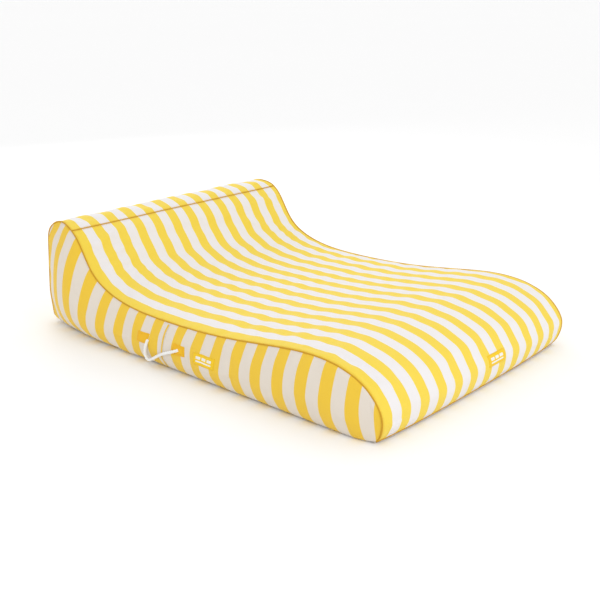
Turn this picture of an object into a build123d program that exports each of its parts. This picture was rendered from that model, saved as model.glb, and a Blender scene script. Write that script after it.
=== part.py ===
from build123d import *
import math
import os

# Two-person inflatable pool lounger: a sewn, striped fabric cover over a PVC air bladder.
# Millimetres, +Z up, standing on Z = 0. X runs across the lounger and Y along it: the raised head is at
# +Y and the rounded foot at -Y. The origin is under the middle of the bounding box. "Left" is -X.

# ---- driving dimensions ----
stripe = 50.0  # width of one woven stripe
stripe_count = 24  # stripes across the top, seam to seam
length = 1800.0
hump_z = 241.0  # thigh hump near the foot
valley_z = 182.0  # lowest part of the seat
ridge_y, ridge_z = 697.0, 437.0  # seam across the head
roll_z = 459.0  # top of the head roll
hem_z = 10.0  # height of the hems at foot and head
corner_r = 30.0
cover_t = 1.0
piping_r = 3.2
piping_gap = 0.3  # free space each side of a piping
seam_x = stripe * stripe_count / 2  # plane of the two top side seams
end_y = length / 2 - piping_r
side_plane = seam_x + piping_r + piping_gap  # where each side panel starts
panel_x = seam_x - piping_r - piping_gap  # where the top panels stop
side_seam_y = 110.0  # seam between the two pieces of each side panel
seam_tape_w = 8.0
bladder_inset = 4.0  # bladder skin below the outer face of the cover, top and ends
bladder_side_inset = 6.0  # the same at the sides
bladder_t = 0.5
web_t = 0.4
web_pitch = 110.0
web_count = 15
web_first_y = -760.0
web_half_x = 575.0
patch_size = (66.0, 40.0)
label_size = (112.0, 43.0)
rope_d = 12.0

# ---- rear wall: a flat, leaning facet that carries the zip and the valve ----
rear_lean = 5.0
rear_top_z = 398.0
corner_y = end_y - corner_r  # middle of the round bottom corners at foot and head
zip_z = 335.0
zip_half = 480.0
zip_slot = 20.0  # opening in the cover that the zip closes
tooth_pitch = 5.0
valve_x, valve_z = 400.0, 195.0
port_r = 42.0
neck_r = 21.0
neck_wall = 3.5
cap_r = 23.5
hinge_y, hinge_z = 29.0, 2.5  # valve cap's hinge, up from the valve's middle and out of the facet


def rear_y(z, depth=0.0):
    """Y of the rear facet at a height."""
    lean = math.radians(rear_lean)
    return corner_y + (corner_r - depth - (z - corner_r) * math.sin(lean)) / math.cos(lean)


def rear_plane(x, z):
    """A plane on the rear facet: local X is -X, local Y points up it and local Z points out of it."""
    lean = math.radians(rear_lean)
    return Plane(origin=(x, rear_y(z), z), x_dir=(-1, 0, 0), z_dir=(0, math.cos(lean), math.sin(lean)))


def write(name, shape):
    """Writes one named sub-part."""
    export_step(shape, f"parts/{name}.step")


def slab(y0, y1, z0, z1, half_x=1000.0):
    """A box given by its Y and Z limits, symmetric about X = 0."""
    return Pos(0, (y0 + y1) / 2, (z0 + z1) / 2) * Box(2 * half_x, y1 - y0, z1 - z0)


def mirrored(shape):
    """The same piece on the other side of the lounger."""
    return mirror(shape, about=Plane.YZ)


def disc(r, z0, z1, hole=0.0, at=(0.0, 0.0)):
    """A round plate or tube standing on the local XY plane."""
    body = Pos(at[0], at[1], (z0 + z1) / 2) * Cylinder(r, z1 - z0)
    if hole:
        body -= Pos(at[0], at[1], (z0 + z1) / 2) * Cylinder(hole, z1 - z0 + 2)
    return body


def block(x0, x1, y0, y1, z0, z1):
    """A box given by its limits."""
    return Pos((x0 + x1) / 2, (y0 + y1) / 2, (z0 + z1) / 2) * Box(x1 - x0, y1 - y0, z1 - z0)


# ---- outline of the lounger in the YZ plane ----
def moved_in(curve, depth):
    """The curve moved square to itself towards the inside, which is on its right."""
    if not depth:
        return curve
    points = []
    for i in range(81):
        at, way = curve @ (i / 80), curve % (i / 80)
        points.append((at.X + way.Y * depth, at.Y - way.X * depth))
    return Spline(*points)


def inset(depth):
    """The side outline as a face, moved inwards by depth: base, foot, hump, seat, backrest, roll, rear."""
    lean = math.radians(rear_lean)
    top = moved_in(
        Spline(
            (-end_y, 55), (-850, 172), (-720, 229), (-600, hump_z), (-420, 226), (-190, 197),
            (130, valley_z), (330, 190), (470, 220), (580, 285), (ridge_y, ridge_z), (770, roll_z),
            (832, 446), (855, 424), (rear_y(rear_top_z), rear_top_z),
        ),
        depth,
    )
    r = corner_r - depth
    rear_foot = (corner_y + r * math.cos(lean), corner_r + r * math.sin(lean))
    rear_corner = JernArc(rear_foot, (math.sin(lean), -math.cos(lean)), r, -90 - rear_lean)
    foot_corner = JernArc((-corner_y, depth), (-1, 0), r, -90)
    rear = Line(top @ 1, rear_corner @ 0)
    base = Line(rear_corner @ 1, foot_corner @ 0)
    nose = Line(foot_corner @ 1, top @ 0)
    curves = (top, rear, rear_corner, base, foot_corner, nose)
    return Face(Wire([Plane.YZ * edge for curve in curves for edge in curve.edges()]))


outline = inset(0)


def across(face, half_x):
    """A flat YZ face pulled across the lounger, symmetric about X = 0."""
    return extrude(face.moved(Location((-half_x, 0, 0))), amount=2 * half_x, dir=(1, 0, 0))


def skin(outer, inner, half_x):
    """A closed band that follows the outline, between two depths below it."""
    return across(inset(outer), half_x) - across(inset(inner), half_x + 1)


# ---- side panels: pillows that swell out from the seam plane ----
stations = (-889, -868, -825, -745, -620, -440, -240, -40, 160, 330, 470, 580, 670, 745, 810, 860, 884, 896)


def chord_at(y, edge):
    """Ends of the line across the outline that starts at Y on the floor, each moved in by edge.

    The line leans more towards the head, so that the last one runs along the rear facet."""
    slope = math.tan(math.radians(rear_lean) * max(0.0, y / end_y) ** 2)
    reach = length / 3
    cut = outline.intersect(Edge.make_line((0, y + reach * slope, -reach), (0, y - reach * slope, reach)))
    ends = sorted((v.Z, v.Y) for v in cut.vertices())
    low = Vector(side_plane, ends[0][1], ends[0][0])
    high = Vector(side_plane, ends[-1][1], ends[-1][0])
    step = (high - low).normalized() * edge
    return low + step, high - step


def swell_at(y):
    """How far the side swells out at Y: most beside the head, and nothing at both ends."""
    along = 41 + 25 / (1 + math.exp(-(y - 480) / 80))
    near_foot = 1 - max(0.0, (-y - 560) / (end_y - 560)) ** 2
    near_head = 1 - max(0.0, (y - 600) / (end_y + 4 - 600)) ** 3
    return along * min(near_foot, near_head)


def pillow(depth, edge):
    """Solid swelling from the side plane; depth is taken off its swell and edge off its outline."""
    sections = []
    for y in stations:
        low, high = chord_at(y * (1 - edge / end_y), edge)
        crest = (low + high) / 2 + Vector(max(1.0, swell_at(y) - depth), 0, 0)
        arc = ThreePointArc(low, crest, high)
        sections.append(Face(Wire([arc.edge(), Line(high, low).edge()])))
    return loft(sections) & slab(-length, length, max(edge, 0.0), length)


side_outer = pillow(0, 0)


def hem_y():
    """Distance of the foot and rear hems from the middle, on the round bottom corner."""
    return end_y - corner_r + math.sqrt(corner_r**2 - (corner_r - hem_z) ** 2)


def rod(y, z, r, half_x):
    """A straight round bar across the lounger."""
    return Pos(0, y, z) * Rot(0, 90, 0) * Cylinder(r, 2 * half_x)


# ---- fabric cover ----
def make_cover():
    """Top, head, rear and base panels: one band round the outline, parted at the seams and the zip."""
    band = skin(0, cover_t, panel_x)
    clear = piping_r + piping_gap
    for y, z in ((ridge_y, ridge_z), (-hem_y(), hem_z), (hem_y(), hem_z)):
        band -= rod(y, z, clear, seam_x)
    above_hem = slab(-length, length, hem_z, length)
    at_zip = rear_plane(0, zip_z)
    slot = at_zip * Box(2 * zip_half + 24, zip_slot, 40)
    over_zip = at_zip * Pos(0, 300, -100) * Box(2 * length, 600, 400)
    under_zip = at_zip * Pos(0, -300, 0) * Box(2 * length, 600, 400)
    port = rear_plane(valve_x, valve_z) * Cylinder(port_r, 60)
    write("seat_panel", band & above_hem & slab(-length, ridge_y, 0, length))
    write("head_panel", (band & over_zip & slab(ridge_y, length, 0, length)) - slot)
    write("rear_panel", (band & above_hem & under_zip) - slot - port)
    base = skin(0, cover_t, side_plane) & slab(-length, length, 0, hem_z)
    for y in (-hem_y(), hem_y()):
        base -= rod(y, hem_z, clear, seam_x + clear)
    write("base_panel", base)


def make_sides():
    """Each side is a rear piece, a front piece and the bound seam between them."""
    wall = side_outer - pillow(cover_t, cover_t)
    tape = slab(side_seam_y - seam_tape_w / 2, side_seam_y + seam_tape_w / 2, -1, length)
    rear = wall & slab(side_seam_y + seam_tape_w / 2, length, -1, length)
    front = wall & slab(-length, side_seam_y - seam_tape_w / 2, -1, length)
    pieces = {"head_side_panel": rear, "side_seam_tape": wall & tape, "foot_side_panel": front}
    for name, piece in pieces.items():
        write(f"right_{name}", piece)
        write(f"left_{name}", mirrored(piece))


def make_piping():
    """Corded piping in the seams: one along each side over the head, and three across."""
    cord = across(inset(-piping_r), piping_r) - across(inset(piping_r), piping_r + 1)
    cord = Pos(seam_x, 0, 0) * (cord & slab(-length, length, hem_z + piping_r, length))
    write("right_top_piping", cord)
    write("left_top_piping", mirrored(cord))
    write("head_cross_piping", rod(ridge_y, ridge_z, piping_r, panel_x))
    write("foot_hem_piping", rod(-hem_y(), hem_z, piping_r, panel_x))
    write("rear_hem_piping", rod(hem_y(), hem_z, piping_r, panel_x))


def on_left_side(thickness, y0, y1, z0, z1):
    """A thin sewn-on piece that follows the left side panel."""
    window = block(side_plane + 10, length, y0, y1, z0, z1)
    return mirrored((pillow(-thickness, 0) & window) - (side_outer & window))


def make_trim():
    """Two rope patches and two plain woven labels."""
    patch_w, patch_h = patch_size
    label_w, label_h = label_size
    write("rear_rope_patch", on_left_side(2.0, 191, 191 + patch_w, 87, 87 + patch_h))
    write("front_rope_patch", on_left_side(2.0, 53 - patch_w, 53, 87, 87 + patch_h))
    write("side_label", on_left_side(1.0, -62 - label_w, -62, 80, 80 + label_h))
    foot = across(inset(-1.0), label_w / 2) - across(outline, label_w)
    write("foot_label", Pos(68, 0, 0) * (foot & slab(-length, -length / 3, 87, 87 + label_h)))


# ---- rope handle ----
rope_route = [
    (-644.5, 191, 106), (-655, 190, 94), (-659, 193, 76), (-658, 197, 57), (-656, 196, 41), (-655, 185, 30),
    (-655, 168, 33), (-656, 148, 46), (-657, 124, 61), (-658, 97, 76), (-658, 69, 88), (-656, 44, 98),
    (-651, 28, 104), (-644, 19, 108),
]


def rope_radii(route):
    """Bend radius at each inner point: 0.45 of the shorter run, over the tangent of half the turn."""
    points = [Vector(*p) for p in route]
    radii = []
    for before, here, after in zip(points, points[1:], points[2:]):
        turn = math.radians((here - before).get_angle(after - here))
        radii.append(0.45 * min((here - before).length, (after - here).length) / math.tan(turn / 2))
    return radii


def make_rope():
    """Rope that hangs between the two patches."""
    radii = rope_radii(rope_route)
    path = FilletPolyline(*[Vector(*p) for p in rope_route], radius=radii)
    rope = sweep(Plane(origin=path @ 0, z_dir=path % 0) * Circle(rope_d / 2), path=path)
    print("rope radii", [round(r) for r in radii])
    section = math.pi * rope_d**2 / 4
    print("rope length", round(path.length, 1), "volume over section", round(rope.volume / section, 1))
    write("rope", rope)


# ---- zip in the rear wall, drawn about its own middle on the rear facet ----
def comb(side):
    """One row of teeth on its spine; side is +1 for the upper row, -1 for the lower."""
    spine_in, spine_out, tip, tooth_w = 1.3, 2.6, -1.1, 2.2
    points = [(-zip_half, spine_out * side), (-zip_half, spine_in * side)]
    shift = tooth_pitch / 4 * side
    for i in range(int(2 * zip_half / tooth_pitch) - 1):
        middle = -zip_half + tooth_pitch * (i + 1) + shift
        left, right = middle - tooth_w / 2, middle + tooth_w / 2
        points += [(left, spine_in * side), (left, tip * side), (right, tip * side), (right, spine_in * side)]
    points += [(zip_half, spine_in * side), (zip_half, spine_out * side)]
    return Pos(0, 0, -1.4) * extrude(Face(Wire.make_polygon(points, close=True)), amount=2.3, dir=(0, 0, 1))


def slider_body():
    """Saddle that rides over the teeth, with an arched bridge for the puller."""
    saddle = block(-7, 7, -4.6, 4.6, -0.7, 3.0)
    saddle = fillet(saddle.edges().filter_by(Axis.Z), 1.2) - block(-8, 8, -3.1, 3.1, -1, 1.2)
    bridge = block(-5, 5, -1.6, 1.6, 3.0, 7.4) - block(-3.2, 3.2, -2, 2, 3.0, 6.2)
    return saddle + fillet(bridge.edges().filter_by(Axis.Y).group_by(Axis.Z)[-1], 1.2)


def puller():
    """Pull tab lying along the zip: a cross bar under the bridge, two arms and the tab."""
    bar = Pos(0, 0, 4.6) * Rot(90, 0, 0) * Cylinder(1.0, 7.0)
    arms = block(-1, 12, 2.2, 3.5, 3.6, 5.6) + block(-1, 12, -3.5, -2.2, 3.6, 5.6)
    tab = block(11, 36, -4.5, 4.5, 3.6, 5.6) - disc(2.4, 3, 6, at=(31, 0))
    return bar + arms + fillet(tab.edges().filter_by(Axis.Z).group_by(Axis.X)[-1], 3.0)


def make_zip():
    """Tapes, teeth, stops, slider and puller."""
    place = rear_plane(0, zip_z)
    tape = block(-zip_half - 10, zip_half + 10, 2.6, 16, -1.7, -1.1)
    write("zip_upper_tape", place * tape)
    write("zip_lower_tape", place * (Rot(0, 0, 180) * tape))
    write("zip_upper_teeth", place * comb(1))
    write("zip_lower_teeth", place * comb(-1))
    stop = block(zip_half + 0.2, zip_half + 4.2, -2.6, 2.6, -1.4, 2.0)
    write("zip_left_stop", place * stop)
    write("zip_right_stop", place * (Rot(0, 0, 180) * stop))
    park = place * Pos(zip_half - 8, 0, 0)
    write("zip_slider", park * slider_body())
    write("zip_puller", park * (Rot(0, 0, 180) * puller()))


# ---- inflation valve, drawn about its own axis on the rear facet ----
def make_valve():
    """Welded base, screw-in one-way insert with its membrane, and a hinged cap on a snap ring."""
    place = rear_plane(valve_x, valve_z)
    bore = neck_r - neck_wall
    weld = disc(38, 0.5 - bladder_inset, 1.5 - bladder_inset, hole=bore)
    write("valve_base", place * (weld + disc(neck_r, -16, 1.5, hole=bore)))
    insert = disc(bore - 0.05, -13, 1.5) + disc(neck_r - 0.6, 1.5, 3.0)
    insert -= disc(9, -8, 4) + disc(13, -14, -10)
    for i in range(6):
        insert -= Rot(0, 0, 60 * i) * disc(2.0, -11, -7, at=(5.8, 0))
    write("valve_insert", place * (insert - disc(1.5, -11, -7)))
    write("valve_membrane", place * (disc(1.5, -10, -7.2) + disc(12, -11, -10) + disc(2.4, -8.0, -7.2)))
    ring = disc(neck_r + 3.4, -2.4, -0.8) + block(-8.5, 8.5, 18, hinge_y + 3, -2.4, -0.8)
    ring -= disc(neck_r, -5, 2)
    lugs = block(5.2, 8.5, hinge_y - 3, hinge_y + 3, -0.8, hinge_z + 2.6)
    lugs += block(-8.5, -5.2, hinge_y - 3, hinge_y + 3, -0.8, hinge_z + 2.6)
    pin_place = Pos(0, hinge_y, hinge_z) * Rot(0, 90, 0)
    write("valve_cap_ring", place * (ring + lugs - pin_place * Cylinder(1.5, 40)))
    write("valve_hinge_pin", place * (pin_place * Cylinder(1.45, 17)))
    cap = disc(cap_r, 3.3, 5.5) + disc(cap_r, 0.3, 3.3, hole=neck_r + 0.5)
    cap = fillet(cap.edges().group_by(Axis.Z)[-1], 1.0)
    cap += block(-4.9, 4.9, 20, hinge_y, 3.3, 4.9) + pin_place * Cylinder(2.4, 9.8)
    write("valve_cap", place * (cap - pin_place * Cylinder(1.5, 12)))
    binding = disc(port_r + 8, 0.02, 1.2, hole=port_r - 2) + disc(port_r - 0.1, -1.6, 0.02, hole=port_r - 2)
    write("port_binding", place * binding)


# ---- air bladder ----
def make_bladder():
    """Top and base sheets, two side walls and the perforated webs that hold the sheets together."""
    band = skin(bladder_inset, bladder_inset + bladder_t, side_plane)
    split_z = hem_z + bladder_inset
    neck = rear_plane(valve_x, valve_z) * Cylinder(neck_r, 60)
    write("bladder_top_sheet", (band & slab(-length, length, split_z, length)) - neck)
    write("bladder_base_sheet", band & slab(-length, length, 0, split_z))
    wall = pillow(bladder_side_inset, bladder_inset)
    wall -= pillow(bladder_side_inset + bladder_t, bladder_inset + bladder_t)
    write("bladder_right_wall", wall)
    write("bladder_left_wall", mirrored(wall))
    air = across(inset(bladder_inset + bladder_t), web_half_x)
    for i in range(web_count):
        y = web_first_y + web_pitch * i
        web = air & slab(y - web_t / 2, y + web_t / 2, 0, length)
        middle, high = web.center().Z, web.bounding_box().size.Z
        for k in range(-2, 3):
            web -= Pos(k * 220, y, middle) * Rot(90, 0, 0) * Cylinder(0.16 * high, 10)
        write(f"bladder_web_{i + 1}", web)


os.makedirs("parts", exist_ok=True)
make_cover()
make_sides()
make_piping()
make_trim()
make_rope()
make_zip()
make_valve()
make_bladder()
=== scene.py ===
import math
import bmesh
import bpy
import numpy as np
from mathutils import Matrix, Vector, noise
from mathutils.bvhtree import BVHTree


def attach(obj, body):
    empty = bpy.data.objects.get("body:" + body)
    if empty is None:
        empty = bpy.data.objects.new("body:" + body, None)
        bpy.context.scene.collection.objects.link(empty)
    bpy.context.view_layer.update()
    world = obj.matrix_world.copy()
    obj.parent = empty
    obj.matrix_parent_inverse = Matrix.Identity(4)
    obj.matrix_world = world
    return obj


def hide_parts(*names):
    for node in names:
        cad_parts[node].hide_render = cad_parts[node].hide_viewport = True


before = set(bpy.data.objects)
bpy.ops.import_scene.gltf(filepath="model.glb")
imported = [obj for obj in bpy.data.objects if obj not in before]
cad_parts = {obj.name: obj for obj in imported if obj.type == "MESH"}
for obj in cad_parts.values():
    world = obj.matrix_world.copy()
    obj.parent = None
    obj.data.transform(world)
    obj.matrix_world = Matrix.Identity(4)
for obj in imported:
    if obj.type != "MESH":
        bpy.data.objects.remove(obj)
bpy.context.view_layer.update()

# ---------------------------------------------------------------- dimensions (metres)
STRIPE = 0.0487  # one woven stripe on the top; a narrow 25th stripe is left at the right seam
SIDE_PITCH = 0.103  # yellow plus white on the side panels
HALF_W = 0.600  # plane of the two top side seams
END_Y = 0.8968
CORNER_R = 0.030
CORNER_Y = END_Y - CORNER_R
HEM_Z = 0.010
RIDGE = (0.697, 0.437)  # seam across the head
REAR_LEAN = math.radians(5.0)
REAR_TOP_Z = 0.398
ZIP_Z = 0.335
ZIP_GAP = 0.010  # half the opening in the cover at the zip
ZIP_END = 0.492
VALVE_X, VALVE_Z = 0.400, 0.195
PORT_R = 0.042
PIPING_R = 0.0027
SIDE_SEAM_Y = 0.110
COLUMNS = 100  # cells across the top
RISE = 24  # cells up each side panel
FOOT_TUCK = 0.024  # how far the foot hem lies behind the nose
SQUEEZE_Y = -0.6
FILM_DEPTH = 0.0048  # bladder film below the outer face of the cloth
NECK_R = 0.0205  # hole in the bladder film at the valve


def rear_y(z):
    """Y of the rear facet at a height."""
    return CORNER_Y + (CORNER_R - (z - CORNER_R) * math.sin(REAR_LEAN)) / math.cos(REAR_LEAN)


# ---------------------------------------------------------------- camera, at the photograph's angle
def add_camera():
    """A camera that sees the lounger as the photograph does."""
    data = bpy.data.cameras.new("photo_camera")
    data.sensor_width = 36
    data.lens = 56.84
    camera = bpy.data.objects.new("photo_camera", data)
    camera.location = (-2.774, -2.474, 1.395)
    camera.rotation_euler = Vector((-0.7086, -0.6296, 0.3186)).to_track_quat("Z", "Y").to_euler()
    bpy.context.scene.collection.objects.link(camera)
    bpy.context.scene.camera = camera


add_camera()

# ---------------------------------------------------------------- node materials
# The side yellow and side white are darker copies of the top cloth's yellow and white, used on the side
# panels, the base and the side seam tape: painted shade.
YELLOW = (0.930, 0.690, 0.070)
YELLOW_SHADED = (0.900, 0.590, 0.045)
WHITE = (0.865, 0.835, 0.835)
WHITE_SHADED = (0.800, 0.725, 0.635)
PIPING = (0.640, 0.340, 0.015)
# The darker piping colour is used for the cord's uneven tone and for the painted shade of its band beside the
# side panel.
PIPING_TONE_AND_SHADE = (0.300, 0.140, 0.008)


class Shader:
    """A node material, built up one value at a time."""

    def __init__(self, name, roughness=0.8, **fixed):
        self.material = bpy.data.materials.new(name)
        self.material.use_nodes = True
        self.tree = self.material.node_tree
        self.surface = self.tree.nodes["Principled BSDF"]
        self.surface.inputs["Roughness"].default_value = roughness
        for socket, value in fixed.items():
            self.surface.inputs[socket.replace("_", " ")].default_value = value
        self.material.diffuse_color = (0.8, 0.8, 0.8, 1)

    def add(self, kind, **settings):
        node = self.tree.nodes.new(kind)
        for key, value in settings.items():
            setattr(node, key, value)
        return node

    def feed(self, socket, value):
        """Links a value's socket, or sets a constant."""
        if isinstance(value, bpy.types.NodeSocket):
            self.tree.links.new(value, socket)
        else:
            socket.default_value = value

    def math(self, operation, a, b=0.0):
        node = self.add("ShaderNodeMath", operation=operation)
        self.feed(node.inputs[0], a)
        self.feed(node.inputs[1], b)
        return node.outputs[0]

    def mix(self, factor, a, b):
        node = self.add("ShaderNodeMix", data_type="RGBA")
        self.feed(node.inputs["Factor"], factor)
        for socket, value in ((node.inputs[6], a), (node.inputs[7], b)):
            self.feed(socket, value if isinstance(value, bpy.types.NodeSocket) else (*value, 1))
        return node.outputs[2]

    def ramp(self, value, low, high):
        """0 below low, 1 above high, smooth between."""
        node = self.add("ShaderNodeMapRange", interpolation_type="SMOOTHSTEP")
        self.feed(node.inputs[0], value)
        node.inputs[1].default_value = low
        node.inputs[2].default_value = high
        return node.outputs[0]

    def flat(self):
        """Across and along the cut cloth, in metres, from the piece's UV map."""
        split = self.add("ShaderNodeSeparateXYZ")
        self.feed(split.inputs[0], self.add("ShaderNodeUVMap", uv_map="flat").outputs[0])
        return split.outputs[0], split.outputs[1]

    def noise(self, vector, scale, detail=3.0, rough=0.55):
        node = self.add("ShaderNodeTexNoise")
        self.feed(node.inputs["Vector"], vector)
        node.inputs["Scale"].default_value = scale
        node.inputs["Detail"].default_value = detail
        node.inputs["Roughness"].default_value = rough
        return node.outputs[0]

    def at(self, x, y, z=0.0):
        node = self.add("ShaderNodeCombineXYZ")
        for socket, value in zip(node.inputs, (x, y, z)):
            self.feed(socket, value)
        return node.outputs[0]

    def place(self):
        """The point in the object's own space."""
        return self.add("ShaderNodeTexCoord").outputs["Object"]

    def bump(self, height, distance, strength=1.0):
        node = self.add("ShaderNodeBump")
        node.inputs["Strength"].default_value = strength
        node.inputs["Distance"].default_value = distance
        self.feed(node.inputs["Height"], height)
        self.feed(self.surface.inputs["Normal"], node.outputs[0])

    def colour(self, value):
        linked = isinstance(value, bpy.types.NodeSocket)
        self.feed(self.surface.inputs["Base Color"], value if linked else (*value, 1))


def weave(shader, u, v, pitch):
    """Height of a plain weave: warp and weft threads that pass over and under each other."""
    warp = shader.math("SINE", shader.math("MULTIPLY", u, math.pi / pitch))
    weft = shader.math("SINE", shader.math("MULTIPLY", v, math.pi / pitch))
    over = shader.math("MULTIPLY", warp, weft)
    return shader.math("ADD", over, shader.math("ABSOLUTE", warp))


def cloth_finish(shader, u, v, colour, pitch=0.0009, slub=0.10):
    """Weave bump, slubs along the threads and a soft unevenness of the dye."""
    thread_way = shader.at(shader.math("MULTIPLY", u, 900), shader.math("MULTIPLY", v, 40))
    streak = shader.noise(thread_way, 1.0, 2.0)
    patch = shader.noise(shader.at(u, v), 9.0, 3.0)
    shade = shader.math("ADD", shader.math("MULTIPLY", streak, slub), shader.math("MULTIPLY", patch, 0.09))
    dark = shader.mix(0.86, (0, 0, 0), colour)
    shader.colour(shader.mix(shader.math("ADD", shade, 0.40), dark, colour))
    height = shader.math("ADD", weave(shader, u, v, pitch), shader.math("MULTIPLY", streak, 0.8))
    shader.bump(height, 0.00018, 0.5)


def stripes(name, period, yellow_share, start, yellow, white):
    """Striped cloth: yellow for the first share of each period, measured across the cut from start."""
    shader = Shader(name, 0.82, Sheen_Weight=0.12, Sheen_Roughness=0.5, Specular_IOR_Level=0.3)
    u, v = shader.flat()
    fuzz = shader.math("SUBTRACT", shader.noise(shader.at(u, v), 420.0), 0.5)
    ragged = shader.math("MULTIPLY", fuzz, 0.0012)
    across = shader.math("ADD", shader.math("SUBTRACT", u, start), ragged)
    phase = shader.math("MULTIPLY", shader.math("FRACT", shader.math("DIVIDE", across, period)), period)
    soft = 0.0006
    rise = shader.ramp(phase, 0.0, soft)
    fall = shader.ramp(phase, yellow_share - soft, yellow_share)
    amount = shader.math("SUBTRACT", rise, fall)
    cloth_finish(shader, u, v, shader.mix(amount, white, yellow))
    return shader.material


def plain_cloth(name, colour, pitch=0.0009, rough=0.85):
    """Woven cloth of one colour."""
    shader = Shader(name, rough, Sheen_Weight=0.12, Specular_IOR_Level=0.3)
    u, v = shader.flat()
    cloth_finish(shader, u, v, shader.mix(0.0, colour, colour), pitch)
    return shader.material


def piping_cloth():
    """Bright covered cord; the band on the side that is sewn to the side panel is darkened as painted shade
    of the seam crease.
    """
    shader = Shader("piping_cloth", 0.75, Specular_IOR_Level=0.3)
    u, v = shader.flat()
    # seam: the band of the cord beside the side panel, darkened as painted shade of the seam crease.
    seam = shader.math("SUBTRACT", shader.ramp(v, 0.50, 0.62), shader.ramp(v, 0.86, 0.98))
    gather = shader.noise(shader.at(shader.math("MULTIPLY", u, 260), v), 1.0, 2.0)
    body = shader.mix(shader.math("MULTIPLY", gather, 0.35), PIPING, PIPING_TONE_AND_SHADE)
    shader.colour(shader.mix(shader.math("MULTIPLY", seam, 0.75), body, PIPING_TONE_AND_SHADE))
    lay = shader.math("ADD", shader.math("MULTIPLY", u, 5200), shader.math("MULTIPLY", v, 6.28))
    twist = shader.math("SINE", lay)
    shader.bump(shader.math("ADD", twist, gather), 0.0003, 0.5)
    return shader.material


def speckled(name, colour, rough, scale=900.0, depth=0.0001, tint=0.12, **fixed):
    """A moulded or twisted surface: fine grain, and a slight unevenness of colour."""
    shader = Shader(name, rough, **fixed)
    place = shader.place()
    grain = shader.noise(place, scale)
    broad = shader.noise(place, scale / 18)
    dark = tuple(c * (1 - tint) for c in colour)
    shader.colour(shader.mix(broad, dark, colour))
    uneven = shader.math("ADD", shader.math("MULTIPLY", grain, 0.16), rough - 0.08)
    shader.feed(shader.surface.inputs["Roughness"], uneven)
    shader.bump(grain, depth, 0.6)
    return shader.material


top_cloth = stripes("top_cloth", 2 * STRIPE, STRIPE, 0.0, YELLOW, WHITE)
# The side, base and seam-tape cloths take the darker copies of the top colours: painted shade.
rear_side_cloth = stripes("rear_side_cloth", SIDE_PITCH, SIDE_PITCH / 2, 0.139, YELLOW_SHADED, WHITE_SHADED)
front_side_cloth = stripes("front_side_cloth", 0.1026, 0.0512, 0.009, YELLOW_SHADED, WHITE_SHADED)
base_cloth = plain_cloth("base_cloth", WHITE_SHADED)
seam_cloth = plain_cloth("seam_cloth", YELLOW_SHADED)
patch_cloth = plain_cloth("patch_cloth", (0.93, 0.52, 0.01), 0.0007)
label_cloth = plain_cloth("label_cloth", (0.95, 0.62, 0.002), 0.0004, 0.6)
label_mark = plain_cloth("label_mark", (0.93, 0.92, 0.86), 0.0004, 0.6)
piping_material = piping_cloth()
thread = speckled("thread", (0.86, 0.50, 0.05), 0.7, 2500)
rope_fibre = speckled("rope_fibre", (0.88, 0.88, 0.87), 0.8, 1400, 0.0003, 0.06, Sheen_Weight=0.2)

# ---------------------------------------------------------------- rope handle
ROPE_ROUTE = [
    (-0.6445, 0.191, 0.106), (-0.655, 0.190, 0.094), (-0.659, 0.193, 0.076), (-0.658, 0.197, 0.057),
    (-0.656, 0.196, 0.041), (-0.655, 0.185, 0.030), (-0.655, 0.168, 0.033), (-0.656, 0.148, 0.046),
    (-0.657, 0.124, 0.061), (-0.658, 0.097, 0.076), (-0.658, 0.069, 0.088), (-0.656, 0.044, 0.098),
    (-0.651, 0.028, 0.104), (-0.644, 0.019, 0.108),
]
STRAND_R = 0.0031
STRAND_OFFSET = 0.0029  # middle of the rope to the middle of a strand
STRAND_LAY = 0.034  # rope length for one turn of a strand


def link(name, data, *materials):
    """Adds an object for a mesh or curve, with its materials."""
    obj = bpy.data.objects.new(name, data)
    bpy.context.scene.collection.objects.link(obj)
    for material in materials:
        data.materials.append(material)
    return obj


def spline_points(points):
    """Close points along the NURBS spline that has these control points."""
    curve = bpy.data.curves.new("route", "CURVE")
    curve.dimensions = "3D"
    curve.resolution_u = 24
    spline = curve.splines.new("NURBS")
    spline.points.add(len(points) - 1)
    for knot, point in zip(spline.points, points):
        knot.co = (*point, 1)
    spline.order_u = 3
    spline.use_endpoint_u = True
    obj = link("route", curve)
    bpy.context.view_layer.update()
    found = bpy.data.meshes.new_from_object(obj)
    line = [v.co.copy() for v in found.vertices]
    bpy.data.objects.remove(obj)
    return line


def frames(line):
    """Point, direction and two square directions along a line, turned as little as possible."""
    side = (line[1] - line[0]).orthogonal().normalized()
    out = []
    for i, point in enumerate(line):
        way = (line[min(i + 1, len(line) - 1)] - line[max(i - 1, 0)]).normalized()
        side = (side - way * side.dot(way)).normalized()
        out.append((point, way, side, way.cross(side)))
    return out


def add_tube(bm, line, radius, sides=12, start=None):
    """A closed tube along a line. UV "flat": along the tube in metres, and round it from 0 to 1.

    The round direction counts from start, where it is given."""
    layer = bm.loops.layers.uv.verify()
    rings = []
    along = 0.0
    steps = frames(line)
    if start:
        steps = [
            (point, way, (start - way * start.dot(way)).normalized(), way.cross(start).normalized())
            for point, way, _, _ in steps
        ]
    lengths = []
    for i, (point, way, side, up) in enumerate(steps):
        if i:
            along += (point - line[i - 1]).length
        lengths.append(along)
        turn = [2 * math.pi * k / sides for k in range(sides)]
        rings.append([bm.verts.new(point + (side * math.cos(a) + up * math.sin(a)) * radius) for a in turn])
    for i, (low, high) in enumerate(zip(rings, rings[1:])):
        for k in range(sides):
            n = (k + 1) % sides
            face = bm.faces.new((low[k], low[n], high[n], high[k]))
            face.smooth = True
            spots = ((lengths[i], k), (lengths[i], k + 1), (lengths[i + 1], k + 1), (lengths[i + 1], k))
            for loop, (u, v) in zip(face.loops, spots):
                loop[layer].uv = (u, v / sides)
    bm.faces.new(list(reversed(rings[0])))
    bm.faces.new(rings[-1])


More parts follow.
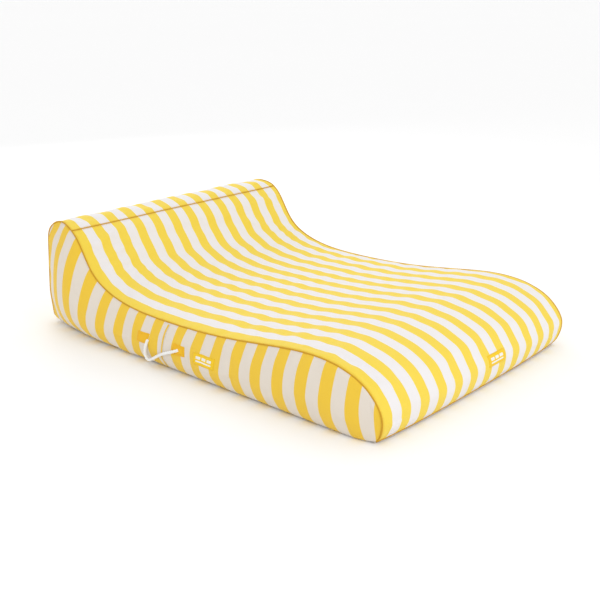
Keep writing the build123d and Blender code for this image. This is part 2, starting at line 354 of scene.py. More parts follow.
def finish_mesh(bm, name, *materials):
    """Turns a bmesh into an object in the scene."""
    mesh = bpy.data.meshes.new(name)
    bm.normal_update()
    bm.to_mesh(mesh)
    bm.free()
    return link(name, mesh, *materials)


def add_rope():
    """Three twisted strands laid along the route."""
    line = spline_points(ROPE_ROUTE)
    length = sum((b - a).length for a, b in zip(line, line[1:]))
    bm = bmesh.new()
    steps = frames(line)
    for strand in range(3):
        path = []
        along = 0.0
        for i, (point, way, side, up) in enumerate(steps):
            if i:
                along += (point - line[i - 1]).length
            angle = 2 * math.pi * (along / STRAND_LAY + strand / 3)
            path.append(point + (side * math.cos(angle) + up * math.sin(angle)) * STRAND_OFFSET)
        add_tube(bm, path, STRAND_R, 14)
    rope = finish_mesh(bm, "rope_strands", rope_fibre)
    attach(rope, "float")
    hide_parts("rope")
    [tuple(p) for p in line]


add_rope()


# ---------------------------------------------------------------- side outline of the lounger
def smooth_line(points, count=1500):
    """Close points along a natural cubic spline through the given points."""
    p = np.array(points)
    t = np.concatenate(([0.0], np.cumsum(np.linalg.norm(np.diff(p, axis=0), axis=1))))
    h = np.diff(t)
    n = len(p)
    left = np.eye(n)
    right = np.zeros((n, 2))
    for i in range(1, n - 1):
        left[i, i - 1:i + 2] = (h[i - 1], 2 * (h[i - 1] + h[i]), h[i])
        right[i] = 6 * ((p[i + 1] - p[i]) / h[i] - (p[i] - p[i - 1]) / h[i - 1])
    bend = np.linalg.solve(left, right)
    out = []
    for s in np.linspace(0, t[-1], count):
        i = min(int(np.searchsorted(t, s, side="right")) - 1, n - 2)
        a, b = (t[i + 1] - s) / h[i], (s - t[i]) / h[i]
        curve = ((a**3 - a) * bend[i] + (b**3 - b) * bend[i + 1]) * h[i] ** 2 / 6
        out.append(a * p[i] + b * p[i + 1] + curve)
    return np.array(out)


def arc(middle, radius, first, last, count=12):
    """Points on a circle, from the first angle to the last."""
    angles = np.radians(np.linspace(first, last, count))
    return np.column_stack((middle[0] + radius * np.cos(angles), middle[1] + radius * np.sin(angles)))


def resample(line, count):
    """count + 1 points evenly along a line."""
    gaps = np.linalg.norm(np.diff(line, axis=0), axis=1)
    keep = np.concatenate(([True], gaps > 1e-7))
    line = line[keep]
    t = np.concatenate(([0.0], np.cumsum(np.linalg.norm(np.diff(line, axis=0), axis=1))))
    s = np.linspace(0, t[-1], count + 1)
    return np.column_stack((np.interp(s, t, line[:, 0]), np.interp(s, t, line[:, 1])))


def onto_cad(line):
    """Moves the points of a line over the top onto the outer face of the CAD cover."""
    verts, faces = [], []
    for node in ("seat_panel", "head_panel"):
        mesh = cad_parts[node].data
        start = len(verts)
        verts += [v.co.copy() for v in mesh.vertices]
        faces += [[start + i for i in p.vertices] for p in mesh.polygons]
    tree = BVHTree.FromPolygons(verts, faces)
    out = line.copy()
    for i in range(1, len(line) - 1):
        way = line[i + 1] - line[i - 1]
        normal = Vector((0, -way[1], way[0])).normalized()
        start = Vector((0.011, *line[i])) + normal * 0.03
        hit = tree.ray_cast(start, -normal, 0.06)[0]
        if hit:
            out[i] = (hit.y, hit.z)
    return out


def outline_parts():
    """Foot, seat, head and rear stretches of the outline, as evenly spaced (y, z) points."""
    top = smooth_line([
        (-END_Y, 0.055), (-0.850, 0.172), (-0.720, 0.229), (-0.600, 0.241), (-0.420, 0.226), (-0.190, 0.197),
        (0.130, 0.182), (0.330, 0.190), (0.470, 0.220), (0.580, 0.285), RIDGE, (0.770, 0.459),
        (0.832, 0.446), (0.855, 0.424), (rear_y(REAR_TOP_Z), REAR_TOP_Z),
    ])
    top = onto_cad(top)
    ridge = int(np.argmin(np.hypot(top[:, 0] - RIDGE[0], top[:, 1] - RIDGE[1])))
    shoulder = int(np.argmax(top[:, 1] > 0.125))
    low = math.degrees(math.asin((HEM_Z - CORNER_R) / CORNER_R))
    foot_arc = arc((-CORNER_Y, CORNER_R), CORNER_R, 180 - low, 180)
    foot = resample(np.vstack((foot_arc, top[:shoulder + 1])), RISE)
    foot[:, 0] += FOOT_TUCK * np.clip((0.110 - foot[:, 1]) / 0.100, 0, 1) ** 1.7
    seat = resample(top[shoulder:ridge + 1], 122)
    head = resample(top[ridge:], 18)
    above_zip = np.linspace(REAR_TOP_Z, ZIP_Z + ZIP_GAP, 4)
    below_zip = np.linspace(ZIP_Z - ZIP_GAP, 0.0326, 19)
    heights = np.concatenate((above_zip, below_zip))
    facet = np.column_stack(([rear_y(z) for z in heights], heights))
    rear_arc = arc((CORNER_Y, CORNER_R), CORNER_R, 5, low, 3)[1:]
    rear = np.vstack((facet, rear_arc))
    return foot, seat, head, rear


def smoothed(line, passes=2):
    """Evens out a line, without moving its ends."""
    line = np.array(line)
    for _ in range(passes):
        line[1:-1] = (line[:-2] + 2 * line[1:-1] + line[2:]) / 4
    return line


foot_line, seat_line, head_line, rear_line = outline_parts()
nose_line = smoothed(np.vstack((foot_line, seat_line[1:16])), 14)
foot_line, seat_line[:16] = nose_line[:RISE + 1], nose_line[RISE:]
top_line = np.vstack((seat_line, head_line[1:]))
STATIONS = len(top_line) - 1
SEAT_END = RISE + len(seat_line) - 1  # ring row of the head seam
HEAD_END = RISE + STATIONS + 3  # ring row of the zip's upper edge
REAR_END = RISE + STATIONS + RISE  # ring row of the rear hem
assert len(rear_line) == RISE + 1, "the rear wall needs as many cells as a side panel is high"


def base_line():
    """Feet of the lines that run up the side panels: they lean more towards the head.

    Ahead of SQUEEZE_Y they are squeezed together, to end at the tucked foot hem."""
    (last_y, last_z), hem = top_line[-1], rear_line[-1]
    most = math.atan((hem[0] - last_y) / last_z) / last_y**2
    out = []
    for y, z in top_line:
        foot_y = y + z * math.tan(most * max(0.0, y) ** 2)
        past = foot_y - CORNER_Y
        foot_z = CORNER_R - math.sqrt(CORNER_R**2 - past**2) if past > 0 else 0.0
        if y < SQUEEZE_Y:
            to_hem = (SQUEEZE_Y - y) / (SQUEEZE_Y - top_line[0][0])
            foot_y = SQUEEZE_Y + (foot_line[0][0] - SQUEEZE_Y) * to_hem
            foot_z = HEM_Z * to_hem**8
        out.append((foot_y, foot_z))
    out[0] = tuple(foot_line[0])
    out[-1] = tuple(hem)
    return np.array(out)


base_points = base_line()
ring = np.vstack((foot_line, top_line[1:], rear_line[1:], base_points[-2:0:-1]))
ring_along = np.concatenate(([0.0], np.cumsum(np.linalg.norm(np.diff(ring, axis=0), axis=1))))


def swell(y):
    """How far a side panel swells out: most beside the head, and nothing at both ends."""
    along = 0.041 + 0.030 / (1 + math.exp(-(y - 0.480) / 0.080))
    near_foot = 1 - max(0.0, (-y - 0.560) / (END_Y - 0.560)) ** 2
    near_head = 1 - max(0.0, (y - 0.600) / (END_Y + 0.004 - 0.600)) ** 3
    return along * min(near_foot, near_head)


def edge_x(y, z):
    """Where the side seams run: straight, but drawn in at the bottom corners and the head roll."""
    low_corner = 0.018 * max(0.0, min(1.0, (y - 0.52) / 0.30)) ** 1.5 * near(z, 0.0, 0.16)
    roll = 0.014 * near(y, 0.80, 0.10) * near(z, 0.45, 0.07)
    foot_corner = 0.012 * max(0.0, min(1.0, (-y - 0.78) / 0.09)) * near(z, 0.0, 0.12)
    return HALF_W - low_corner - roll - foot_corner


def ripple(x, y, z, seed):
    """Smooth noise from -1 to 1, the same every run."""
    return noise.noise(Vector((x + 7.3 * seed, y - 3.1 * seed, z + 1.7 * seed))) * 1.6


def near(value, middle, width):
    """1 at middle, falling smoothly to 0 at width away."""
    away = min(1.0, abs(value - middle) / width)
    return (1 - away * away) ** 2


def nose_shift(x, y):
    """How far along the float the foot end moves: the nose is round in plan, fullest in the middle."""
    to_foot = min(1.0, max(0.0, (-y - 0.60) / 0.25)) ** 2
    return to_foot * (-0.010 + 0.018 * (abs(x) / HALF_W) ** 3)


def rest_lift(x, along, y):
    """How far the top cloth stands above the plain outline: crown, soft channels and puckers."""
    edge = HALF_W - abs(x)
    inner = min(1.0, edge / 0.10)
    inner = inner * inner * (3 - 2 * inner)
    crown = 0.015 * near(y, 0.08, 0.60) + 0.003 * near(y, -0.62, 0.40)
    lift = crown * (1 - (abs(x) / HALF_W) ** 4)
    warp = ripple(x * 3.0, along * 1.5, 0, 1) * 0.35
    channel = math.cos(2 * math.pi * (along / 0.104 + warp))
    broad = 0.5 + 0.5 * ripple(x * 2.2, along * 1.8, 0, 2)
    seat_share = 1 - near(y, -0.75, 0.22) * 0.6
    lift += 0.0022 * channel * inner * (0.35 + broad) * seat_share
    lift += 0.0014 * ripple(x * 5, along * 14, 0, 3) * inner
    pucker = ripple(x * 5, along * 22, 0, 4)
    lift += 0.0030 * pucker * near(edge, 0.045, 0.05) * (0.6 + 0.4 * ripple(x, along * 3, 0, 5))
    return lift


FOLDS = [  # x and y of the middle, half length, half width, depth, slope of the backrest creases
    (-0.46, 0.655, 0.14, 0.009, 0.0060, 0.10), (-0.43, 0.620, 0.16, 0.009, 0.0065, 0.16),
    (-0.45, 0.585, 0.15, 0.009, 0.0060, 0.24), (-0.40, 0.545, 0.16, 0.010, 0.0050, 0.20),
    (-0.36, 0.500, 0.14, 0.012, 0.0035, 0.10), (-0.10, 0.610, 0.24, 0.012, 0.0035, -0.05),
    (0.26, 0.620, 0.22, 0.011, 0.0050, -0.12), (0.44, 0.575, 0.17, 0.010, 0.0065, -0.22),
    (0.47, 0.530, 0.14, 0.010, 0.0060, -0.18), (0.48, 0.480, 0.13, 0.011, 0.0045, -0.12),
    (0.50, 0.645, 0.10, 0.009, 0.0055, -0.10), (0.15, 0.490, 0.26, 0.015, 0.0032, 0.03),
]


def creases(x, y):
    """Soft folds that run across the backrest from the side seams."""
    total = 0.0
    for mid_x, mid_y, half_l, half_w, depth, slope in FOLDS:
        off = (y - mid_y - slope * (x - mid_x) + 0.006 * math.sin(x * 23 + mid_y * 40)) / half_w
        if abs(off) < 4:
            section = math.exp(-off * off) - 0.7 * math.exp(-((off - 1.5) ** 2))
            total += depth * near(x, mid_x, half_l) * section
    return total


def build_cover():
    """One closed grid: the band round the outline with a side panel on each end, sharing their edges.

    Returns the points, and the numbers of the points in the band and in each side panel."""
    rows = len(ring)
    spots = []
    band = np.zeros((rows, COLUMNS + 1), int)
    for k, (y, z) in enumerate(ring):
        ahead, behind = ring[(k + 1) % rows], ring[k - 1]
        way = np.array(ahead) - np.array(behind)
        normal = np.array((-way[1], way[0])) / np.linalg.norm(way)
        for j in range(COLUMNS + 1):
            x = -HALF_W + 2 * HALF_W * j / COLUMNS
            lift = 0.0
            if k <= SEAT_END + 22:
                fade = min(1.0, max(0.0, k / 10.0)) * min(1.0, max(0.0, (SEAT_END + 20 - k) / 8.0))
                lift = fade * max(-0.002, rest_lift(x, ring_along[k], y) + creases(x, y))
                if k == SEAT_END:
                    lift *= 0.6
            band[k, j] = len(spots)
            at_head = max(0.0, (y - 0.60) / 0.30) ** 2 * near(z, 0.0, 0.03)
            raised = 0.020 * at_head * (abs(x) / HALF_W) ** 12
            to_seam = max(0.0, (abs(x) / HALF_W - 0.8) / 0.2) ** 2
            drawn = x + x * (edge_x(y, z) / HALF_W - 1) * to_seam
            spots.append((drawn, y + normal[0] * lift + nose_shift(x, y), z + normal[1] * lift + raised))
    sides = {}
    for sign, edge in ((-1, 0), (1, COLUMNS)):
        grid = np.zeros((STATIONS + 1, RISE + 1), int)
        for i in range(STATIONS + 1):
            for t in range(RISE + 1):
                if i == 0:
                    grid[i, t] = band[t, edge]
                elif i == STATIONS:
                    grid[i, t] = band[REAR_END - t, edge]
                elif t == RISE:
                    grid[i, t] = band[RISE + i, edge]
                elif t == 0:
                    grid[i, t] = band[rows - i, edge]
                else:
                    share = t / RISE
                    low, high = base_points[i], top_line[i]
                    y, z = low + (high - low) * share
                    out = math.sin(math.pi * share**0.75) ** 0.75
                    seam_x = edge_x(low[0], low[1]) * (1 - share) + edge_x(high[0], high[1]) * share
                    pucker = 0.0020 * ripple(y * 24, z * 6, sign, 6) * near(share, 1.0, 0.35)
                    soft = 0.0014 * ripple(y * 5, z * 7, sign, 7) * min(1, 4 * share * (1 - share))
                    x = sign * (seam_x + (0.0035 + swell(low[0])) * out + pucker + soft)
                    grid[i, t] = len(spots)
                    spots.append((x, y + nose_shift(HALF_W, y), z))
        sides[sign] = grid
    return np.array(spots), band, sides


def outward(spots, faces):
    """The way square to the cloth at every point of the cover."""
    normals = np.zeros_like(spots)
    for corners in faces:
        a, b, c, d = (spots[i] for i in corners)
        normal = np.cross(c - a, d - b)
        for index in corners:
            normals[index] += normal
    return normals / np.maximum(np.linalg.norm(normals, axis=1), 1e-12)[:, None]


RELAX_CAP = 0.006  # the furthest a point may move
RELAX_DEPTH = 0.0008  # the furthest it may move inwards
RELAX_FRAMES = 20


def relax(spots, faces, pinned):
    """Blows the cover up as cloth under pressure; points may only move a little from where they start."""
    mesh = bpy.data.meshes.new("cover_relax")
    mesh.from_pydata([tuple(p) for p in spots], [], faces)
    obj = link("cover_relax", mesh)
    group = obj.vertex_groups.new(name="pinned")
    for index, weight in pinned.items():
        group.add([index], weight, "REPLACE")
    cloth = obj.modifiers.new("cloth", "CLOTH")
    settings = cloth.settings
    settings.quality = 5
    settings.mass = 0.25
    settings.tension_stiffness = 30
    settings.compression_stiffness = 30
    settings.shear_stiffness = 12
    settings.bending_stiffness = 0.6
    settings.use_pressure = True
    settings.uniform_pressure_force = 0.6
    settings.shrink_min = -0.014
    settings.vertex_group_mass = "pinned"
    settings.effector_weights.gravity = 0
    cloth.collision_settings.use_collision = False
    cloth.point_cache.frame_start = 1
    cloth.point_cache.frame_end = RELAX_FRAMES
    scene = bpy.context.scene
    for step in range(1, RELAX_FRAMES + 1):
        scene.frame_set(step)
    bpy.context.view_layer.update()
    shape = obj.evaluated_get(bpy.context.evaluated_depsgraph_get())
    moved = np.array([tuple(v.co) for v in shape.data.vertices])
    scene.frame_set(1)
    bpy.data.objects.remove(obj)
    shift = moved - spots
    size = np.linalg.norm(shift, axis=1)
    print(f"cloth moved {size.max() * 1000:.1f} mm at most, {np.median(size) * 1000:.2f} mm in the middle")
    scale = RELAX_CAP * np.tanh(size / RELAX_CAP) / np.maximum(size, 1e-9)
    shift = shift * scale[:, None]
    normals = outward(spots, faces)
    too_deep = np.maximum(0.0, -(shift * normals).sum(axis=1) - RELAX_DEPTH)
    return spots + shift + normals * too_deep[:, None]


# ---------------------------------------------------------------- fabric cover
def grid_faces(band, sides):
    """Faces of the whole cover by panel. Each is its corners and their flat position (across, along)."""
    rows = len(ring)
    panels = {name: [] for name in (
        "seat_cover", "head_cover", "rear_cover", "base_cover", "left_front_side", "left_rear_side",
        "right_front_side", "right_rear_side")}
    slot_from = round((HALF_W - ZIP_END) / (2 * HALF_W / COLUMNS))
    for k in range(rows):
        n = (k + 1) % rows
        along = (ring_along[k], ring_along[k] + np.linalg.norm(ring[n] - ring[k]))
        name = "seat_cover" if k < SEAT_END else "head_cover" if k < HEAD_END else None
        name = name or ("rear_cover" if k < REAR_END else "base_cover")
        for j in range(COLUMNS):
            if k == HEAD_END and slot_from <= j < COLUMNS - slot_from:
                continue
            u0, u1 = 2 * HALF_W * j / COLUMNS, 2 * HALF_W * (j + 1) / COLUMNS
            corners = (band[k, j], band[k, j + 1], band[n, j + 1], band[n, j])
            flat = ((u0, along[0]), (u1, along[0]), (u1, along[1]), (u0, along[1]))
            panels[name].append((corners, flat))
    seam = int(np.argmin(np.abs(top_line[:, 0] - SIDE_SEAM_Y)))
    for sign, grid in sides.items():
        side = "left" if sign < 0 else "right"
        for i in range(STATIONS):
            part = "rear" if i >= seam else "front"
            for t in range(RISE):
                cells = ((i, t), (i, t + 1), (i + 1, t + 1), (i + 1, t))
                corners = tuple(grid[c] for c in cells)
                flat = tuple(side_flat(a, b) for a, b in cells)
                if sign > 0:
                    corners, flat = corners[::-1], flat[::-1]
                panels[f"{side}_{part}_side"].append((corners, flat))
    return panels


def side_flat(i, t):
    """Flat position on a side panel: along the lounger, and up the panel."""
    if i == 0:
        return float(foot_line[t][0]) * 0.5 - END_Y * 0.5, float(foot_line[t][1])
    if i == STATIONS:
        y, z = rear_line[RISE - t]
        return float(y) + 0.05 * float(z), float(z)
    low, high = base_points[i], top_line[i]
    share = t / RISE
    y, z = low + (high - low) * share
    lean = max(0.0, y / END_Y) ** 2 * math.tan(REAR_LEAN)
    to_head = min(1.0, max(0.0, (y - 0.25) / 0.45))
    under = max(0.0, 1 - z / 0.13) ** 2 * (0.018 + 0.022 * to_head)
    at_roll = min(1.0, max(0.0, (y - 0.55) / 0.25))
    over = min(1.0, max(0.0, (z - 0.27) / 0.18)) ** 2 * 0.055 * at_roll
    return float(y + z * lean * 0.9 + under + over), float(z)


spots, band, sides = build_cover()
panels = grid_faces(band, sides)
all_faces = [[int(c) for c in corners] for cells in panels.values() for corners, _ in cells]


def pins():
    """How firmly each point of the cover is held while it is blown up: seams, base and rear stay put."""
    held = {}
    rows = len(ring)
    for k in range(rows):
        for j in range(COLUMNS + 1):
            firm = 0.0
            if j in (0, COLUMNS) or k > HEAD_END - 4 or k < 2 or k == SEAT_END:
                firm = 1.0
            elif (k - RISE) % 8 == 0 and RISE < k < SEAT_END:
                firm = 0.12
            if firm:
                held[int(band[k, j])] = firm
    for grid in sides.values():
        for i in range(STATIONS + 1):
            for t in (0, RISE):
                held[int(grid[i, t])] = 1.0
    return held


spots = relax(spots, all_faces, pins())


def add_panel(name, cells, material, thickness=0.0010, refine=1, spots=spots):
    """One cut piece of the cover: smooth, thin, with its seams at its edges."""
    bm = bmesh.new()
    layer = bm.loops.layers.uv.new("flat")
    used = {}
    for corners, flat in cells:
        for index in corners:
            if index not in used:
                used[index] = bm.verts.new(tuple(spots[index]))
        face = bm.faces.new([used[index] for index in corners])
        face.smooth = True
        for loop, uv in zip(face.loops, flat):
            loop[layer].uv = uv
    obj = finish_mesh(bm, name, material)
    if refine:
        smooth = obj.modifiers.new("smooth", "SUBSURF")
        smooth.levels = refine
        smooth.render_levels = refine
        smooth.boundary_smooth = "PRESERVE_CORNERS"
    thick = obj.modifiers.new("thickness", "SOLIDIFY")
    thick.thickness = thickness
    thick.offset = -1
    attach(obj, "float")
    return obj


def open_port(obj, radius):
    """Cuts a round hole in a sheet of the rear wall, at the valve."""
    bm = bmesh.new()
    bm.from_mesh(obj.data)
    middle = Vector((VALVE_X, rear_y(VALVE_Z), VALVE_Z))
    near_port = [f for f in bm.faces if (f.calc_center_median() - middle).length < radius + 0.05]
    edges = list({e for f in near_port for e in f.edges})
    bmesh.ops.subdivide_edges(bm, edges=edges, cuts=3, use_grid_fill=True)
    inside = [v for v in bm.verts if (v.co - middle).length < radius - 0.0005]
    bmesh.ops.delete(bm, geom=inside, context="VERTS")
    for vert in bm.verts:
        away = vert.co - middle
        if vert.is_boundary and away.length < radius + 0.01:
            vert.co = middle + away.normalized() * radius
    for face in bm.faces:
        face.smooth = True
    bm.to_mesh(obj.data)
    bm.free()


def cloth_area(cells):
    """Area of the flat-cut cloth."""
    total = 0.0
    for _, flat in cells:
        (ax, ay), (bx, by), (cx, cy), (dx, dy) = flat
        total += abs((cx - ax) * (dy - by) - (dx - bx) * (cy - ay)) / 2
    return total


def declare(cells, node, slot):
    """Hides the CAD node that a sheet stands for, and works out its flat size as it was cut, which is then
    not kept. slot is not used.
    """
    corners = [uv for _, flat in cells for uv in flat]
    width = max(u for u, _ in corners) - min(u for u, _ in corners)
    length = max(v for _, v in corners) - min(v for _, v in corners)
    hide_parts(node)
    min(cloth_area(cells), width * length)


PANELS = {  # panel: CAD node, cloth, material slot
    "seat_cover": ("seat_panel", top_cloth, "striped_top_fabric"),
    "head_cover": ("head_panel", top_cloth, "striped_top_fabric"),
    "rear_cover": ("rear_panel", top_cloth, "striped_top_fabric"),
    "base_cover": ("base_panel", base_cloth, "plain_base_fabric"),
    "left_front_side": ("left_foot_side_panel", front_side_cloth, "striped_side_fabric"),
    "left_rear_side": ("left_head_side_panel", rear_side_cloth, "striped_side_fabric"),
    "right_front_side": ("right_foot_side_panel", front_side_cloth, "striped_side_fabric"),
    "right_rear_side": ("right_head_side_panel", rear_side_cloth, "striped_side_fabric"),
}
cover = {}
for name, (node, cloth, slot) in PANELS.items():
    refine = 0 if name in ("base_cover", "rear_cover") else 1
    cover[name] = add_panel(name, panels[name], cloth, refine=refine)
    if name == "rear_cover":
        open_port(cover[name], PORT_R)
    declare(panels[name], node, slot)

# ---------------------------------------------------------------- air bladder inside the cover
film = speckled("bladder_film", (0.82, 0.85, 0.87), 0.32, 400, 0.0001, 0.05)


def add_bladder():
    """Vinyl skin just inside the cloth, in the same four sheets as the real bladder."""
    inner = spots - outward(spots, all_faces) * FILM_DEPTH
    sheets = {
        "bladder_top_film": ("bladder_top_sheet", ("seat_cover", "head_cover", "rear_cover")),
        "bladder_base_film": ("bladder_base_sheet", ("base_cover",)),
        "bladder_left_film": ("bladder_left_wall", ("left_front_side", "left_rear_side")),
        "bladder_right_film": ("bladder_right_wall", ("right_front_side", "right_rear_side")),
    }
    for name, (node, parts) in sheets.items():
        cells = [cell for part in parts for cell in panels[part]]
        sheet = add_panel(name, cells, film, 0.0005, 0, inner)
        if name == "bladder_top_film":
            open_port(sheet, NECK_R)
        declare(cells, node, "bladder_vinyl")


add_bladder()


# ---------------------------------------------------------------- piping in the seams
def add_piping(name, node, line, side):
    """A covered cord in a seam. side is where its round direction counts from."""
    bm = bmesh.new()
    add_tube(bm, [Vector(p) for p in line], PIPING_R, 14, Vector(side))
    obj = finish_mesh(bm, name, piping_material)
    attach(obj, "float")
    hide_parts(node)
    return obj


for sign, edge, label in ((-1, 0, "left"), (1, COLUMNS, "right")):
    line = smoothed([spots[band[k, edge]] for k in range(REAR_END + 1)])
    add_piping(f"{label}_seam_piping", f"{label}_top_piping", line, (sign, 0, 0))
for name, row in (("head_cross_piping", SEAT_END), ("foot_hem_piping", 0), ("rear_hem_piping", REAR_END)):
    line = smoothed([spots[band[row, j]] for j in range(COLUMNS + 1)])
    add_piping(f"{name}_cord", name, line, (0, 0, 1))

# ---------------------------------------------------------------- pieces sewn on the sides
def surface_of(*names):
    """A tree to find points on the outer face of these cover pieces."""
    bpy.context.view_layer.update()
    verts, faces = [], []
    for name in names:
        shape = cover[name].evaluated_get(bpy.context.evaluated_depsgraph_get())
        start = len(verts)
        verts += [v.co.copy() for v in shape.data.vertices]
        faces += [[start + i for i in p.vertices] for p in shape.data.polygons]
    return BVHTree.FromPolygons(verts, faces)


left_side = surface_of("left_front_side", "left_rear_side")
right_side = surface_of("right_front_side", "right_rear_side")
top_side = surface_of("seat_cover")


def on_side(y, z, out=0.0, sign=-1):
    """Point and outward direction on a side panel, at a height above its cloth."""
    tree = left_side if sign < 0 else right_side
    hit, normal, _, _ = tree.ray_cast(Vector((sign * 1.0, y, z)), Vector((-sign, 0, 0)))
    return hit + normal * out, normal


def on_foot(x, z, out=0.0):
    """Point and outward direction on the nose, at a height above its cloth."""
    hit, normal, _, _ = top_side.ray_cast(Vector((x, -1.5, z)), Vector((0, 1, 0)))
    return hit + normal * out, normal


def add_patch(name, node, slot, material, place, u0, u1, v0, v1, thickness, corner=0.003):
    """A sewn-on piece that follows the cloth: rounded corners, and an edge pulled down by its stitching."""
    columns = max(8, round((u1 - u0) / 0.003))
    rows = max(8, round((v1 - v0) / 0.003))
    bm = bmesh.new()
    layer = bm.loops.layers.uv.new("flat")
    grid = []
    for i in range(columns + 1):
        line = []
        for k in range(rows + 1):
            u = u0 + (u1 - u0) * i / columns
            v = v0 + (v1 - v0) * k / rows
            edge = min(i, columns - i, k, rows - k)
            lift = thickness * (0.45, 0.85, 0.75)[edge] if edge < 3 else thickness
            if i in (0, columns) and k in (0, rows):
                u += corner * 0.3 * (1 if i == 0 else -1)
                v += corner * 0.3 * (1 if k == 0 else -1)
            line.append((bm.verts.new(place(u, v, lift)[0]), (u, v)))
        grid.append(line)
    for i in range(columns):
        for k in range(rows):
            cells = (grid[i][k], grid[i + 1][k], grid[i + 1][k + 1], grid[i][k + 1])
            face = bm.faces.new([c[0] for c in cells])
            face.smooth = True
            for loop, (_, uv) in zip(face.loops, cells):
                loop[layer].uv = uv
    bmesh.ops.recalc_face_normals(bm, faces=list(bm.faces))
    middle = grid[columns // 2][rows // 2][0]
    bm.normal_update()
    away = place((u0 + u1) / 2, (v0 + v1) / 2)[1]
    if middle.normal.dot(away) < 0:
        bmesh.ops.reverse_faces(bm, faces=list(bm.faces))
    obj = finish_mesh(bm, name, material)
    thick = obj.modifiers.new("thickness", "SOLIDIFY")
    thick.thickness = thickness * 0.9
    thick.offset = -1
    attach(obj, "float")
    if node:
        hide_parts(node)
    return obj


def add_stitches(name, runs, length=0.0030, gap=0.0014, radius=0.00038):
    """Rows of short thread stitches. Each run is a list of (point, outward direction)."""
    bm = bmesh.new()
    for run in runs:
        points = [p for p, _ in run]
        t = [0.0]
        for a, b in zip(points, points[1:]):
            t.append(t[-1] + (b - a).length)
        count = int(t[-1] / (length + gap))
        for s in range(count):
            start = s * t[-1] / count
            ends = []
            for at in (start, start + length / 2, start + length):
                i = min(int(np.searchsorted(t, at, side="right")) - 1, len(t) - 2)
                share = (at - t[i]) / max(t[i + 1] - t[i], 1e-9)
                ends.append(points[i].lerp(points[i + 1], min(share, 1.0)))
            normal = run[min(int(np.searchsorted(t, start)), len(run) - 1)][1]
            ends = [ends[0] - normal * radius, ends[1] + normal * radius * 0.9, ends[2] - normal * radius]
            add_tube(bm, ends, radius, 5)
    obj = finish_mesh(bm, name, thread)
    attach(obj, "float")
    return obj


def frame_runs(place, u0, u1, v0, v1, inset, lift, steps=30):
    """Four stitch runs inside the edge of a sewn-on rectangle."""
    u0, u1, v0, v1 = u0 + inset, u1 - inset, v0 + inset, v1 - inset
    corners = [(u0, v0), (u1, v0), (u1, v1), (u0, v1)]
    runs = []
    for a, b in zip(corners, corners[1:] + corners[:1]):
        shares = [s / steps for s in range(steps + 1)]
        runs.append([place(a[0] + (b[0] - a[0]) * s, a[1] + (b[1] - a[1]) * s, lift) for s in shares])
    return runs


PATCHES = {  # y from and to, z from and to
    "rear_rope_patch": (0.191, 0.257, 0.087, 0.127),
    "front_rope_patch": (-0.013, 0.053, 0.087, 0.127),
}
runs = []
for name, (y0, y1, z0, z1) in PATCHES.items():
    add_patch(f"{name}_cloth", name, "yellow_patch", patch_cloth, on_side, y0, y1, z0, z1, 0.0018)
    runs += frame_runs(on_side, y0, y1, z0, z1, 0.004, 0.0016)
    runs += frame_runs(on_side, y0, y1, z0, z1, 0.0075, 0.0018)
add_stitches("patch_stitches", runs)

SIDE_LABEL = (-0.174, -0.062, 0.080, 0.123)  # y from and to, z from and to
FOOT_LABEL = (0.012, 0.124, 0.087, 0.130)  # x from and to, z from and to
add_patch("side_label_cloth", "side_label", "woven_label", label_cloth, on_side, *SIDE_LABEL, 0.0010)
add_patch("foot_label_cloth", "foot_label", "woven_label", label_cloth, on_foot, *FOOT_LABEL, 0.0010)
runs = frame_runs(on_side, *SIDE_LABEL, 0.0025, 0.0011)
runs += frame_runs(on_foot, *FOOT_LABEL, 0.0025, 0.0011)
add_stitches("label_stitches", runs)


def add_mark(name, place, u0, u1, v0, v1):
    """The label's plain woven device: three short bars over a long one."""
    def on_label(u, v, out=0.0):
        return place(u, v, out + 0.0009)

    width, height = u1 - u0, v1 - v0
    bars = [(0.14, 0.86, 0.26, 0.38)] + [(0.14 + 0.26 * i, 0.34 + 0.26 * i, 0.50, 0.74) for i in range(3)]
    for i, (a, b, c, d) in enumerate(bars):
        box = (u0 + a * width, u0 + b * width, v0 + c * height, v0 + d * height)
        add_patch(f"{name}_{i + 1}", None, "woven_label", label_mark, on_label, *box, 0.0004, 0.001)


add_mark("side_label_bar", on_side, *SIDE_LABEL)
add_mark("foot_label_bar", on_foot, *FOOT_LABEL)


def add_side_tape(sign, label):
    """The bound seam between the two pieces of a side panel."""
    def place(v, u, out=0.0):
        return on_side(SIDE_SEAM_Y + u, v, out, sign)

    top = float(np.interp(SIDE_SEAM_Y, top_line[:, 0], top_line[:, 1]))
    add_patch(f"{label}_seam_binding", f"{label}_side_seam_tape", "yellow_piping", seam_cloth, place,
              0.006, top - 0.006, -0.004, 0.004, 0.0009)
    lines = [[place(0.008 + (top - 0.016) * s / 40, u, 0.0009) for s in range(41)] for u in (-0.0026, 0.0026)]
    add_stitches(f"{label}_seam_stitches", lines)


add_side_tape(-1, "left")
add_side_tape(1, "right")


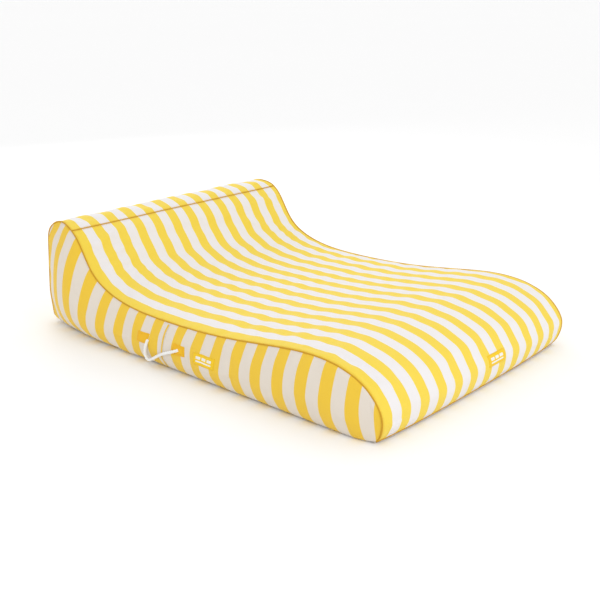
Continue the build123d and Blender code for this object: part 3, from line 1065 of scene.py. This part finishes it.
def seam_stitches():
    """Rows of stitching beside the pipings: on the top cloth, and above and below the head seam."""
    runs = []
    for edge, step in ((0, 1), (COLUMNS, -1)):
        run = []
        for k in range(2, HEAD_END - 1):
            a, b = Vector(spots[band[k, edge]]), Vector(spots[band[k, edge + step]])
            c = Vector(spots[band[k + 1, edge]])
            normal = (b - a).cross(c - a).normalized() * step
            run.append((a + (b - a).normalized() * 0.0065 + normal * 0.0002, normal))
        runs.append(run)
    for step in (-1, 1):
        run = []
        for j in range(1, COLUMNS):
            a, b = Vector(spots[band[SEAT_END, j]]), Vector(spots[band[SEAT_END + step, j]])
            across = Vector(spots[band[SEAT_END, j + 1]]) - a
            normal = across.cross(b - a).normalized() * step
            run.append((a + (b - a).normalized() * 0.0065 + normal * 0.0002, normal))
        runs.append(run)
    add_stitches("seam_stitches", runs, length=0.0034, gap=0.0016)


seam_stitches()

# ---------------------------------------------------------------- CAD pieces that keep their shape
vinyl = speckled("clear_vinyl", (0.80, 0.84, 0.86), 0.28, 700, 0.00005, 0.05, Coat_Weight=0.2)
nylon = speckled("zip_nylon", (0.84, 0.83, 0.79), 0.45, 900)
nickel = speckled("zip_nickel", (0.62, 0.61, 0.58), 0.30, 900, 0.00005, 0.15, Metallic=1.0)
rubber = speckled("membrane_rubber", (0.06, 0.06, 0.06), 0.6, 1200)
tape_cloth = speckled("zip_tape_cloth", (0.80, 0.77, 0.70), 0.85, 2200, 0.0003)
binding = speckled("port_binding_cloth", (0.93, 0.50, 0.01), 0.8, 1800, 0.0003)
KEEP = {
    "zip_upper_tape": tape_cloth, "zip_lower_tape": tape_cloth,
    "zip_upper_teeth": nylon, "zip_lower_teeth": nylon,
    "zip_left_stop": nylon, "zip_right_stop": nylon, "zip_slider": nickel, "zip_puller": nickel,
    "port_binding": binding, "valve_base": vinyl, "valve_insert": vinyl, "valve_cap": vinyl,
    "valve_cap_ring": vinyl, "valve_hinge_pin": vinyl, "valve_membrane": rubber,
}
for node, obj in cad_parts.items():
    material = KEEP.get(node) or (film if node.startswith("bladder") else None)
    if material:
        for holder in obj.material_slots:
            holder.material = material
        if not obj.material_slots:
            obj.data.materials.append(material)


# ---------------------------------------------------------------- floor and light
def add_stage():
    """White floor, white surroundings and two soft lamps."""
    mesh = bpy.data.meshes.new("floor")
    mesh.from_pydata([(-90, -90, 0), (90, -90, 0), (90, 90, 0), (-90, 90, 0)], [], [(0, 1, 2, 3)])
    floor = link("floor", mesh, speckled("floor_paint", (0.97, 0.97, 0.97), 0.9, 3, 0.0, 0.01))
    world = bpy.data.worlds.new("studio")
    world.use_nodes = True
    world.node_tree.nodes["Background"].inputs[0].default_value = (1.0, 1.0, 1.0, 1)
    world.node_tree.nodes["Background"].inputs[1].default_value = 1.0
    bpy.context.scene.world = world
    for name, place, size, energy in (
            ("key", (-1.0, -4.0, 2.6), 1.5, 28), ("back", (1.5, 4.0, 2.4), 2.0, 34)):
        data = bpy.data.lights.new(name, "AREA")
        data.size = size
        data.energy = energy
        lamp = bpy.data.objects.new(name, data)
        lamp.location = place
        lamp.rotation_euler = (Vector(place) - Vector((0, 0, 0.2))).to_track_quat("Z", "Y").to_euler()
        bpy.context.scene.collection.objects.link(lamp)
    bpy.context.scene.view_settings.view_transform = "Standard"


add_stage()
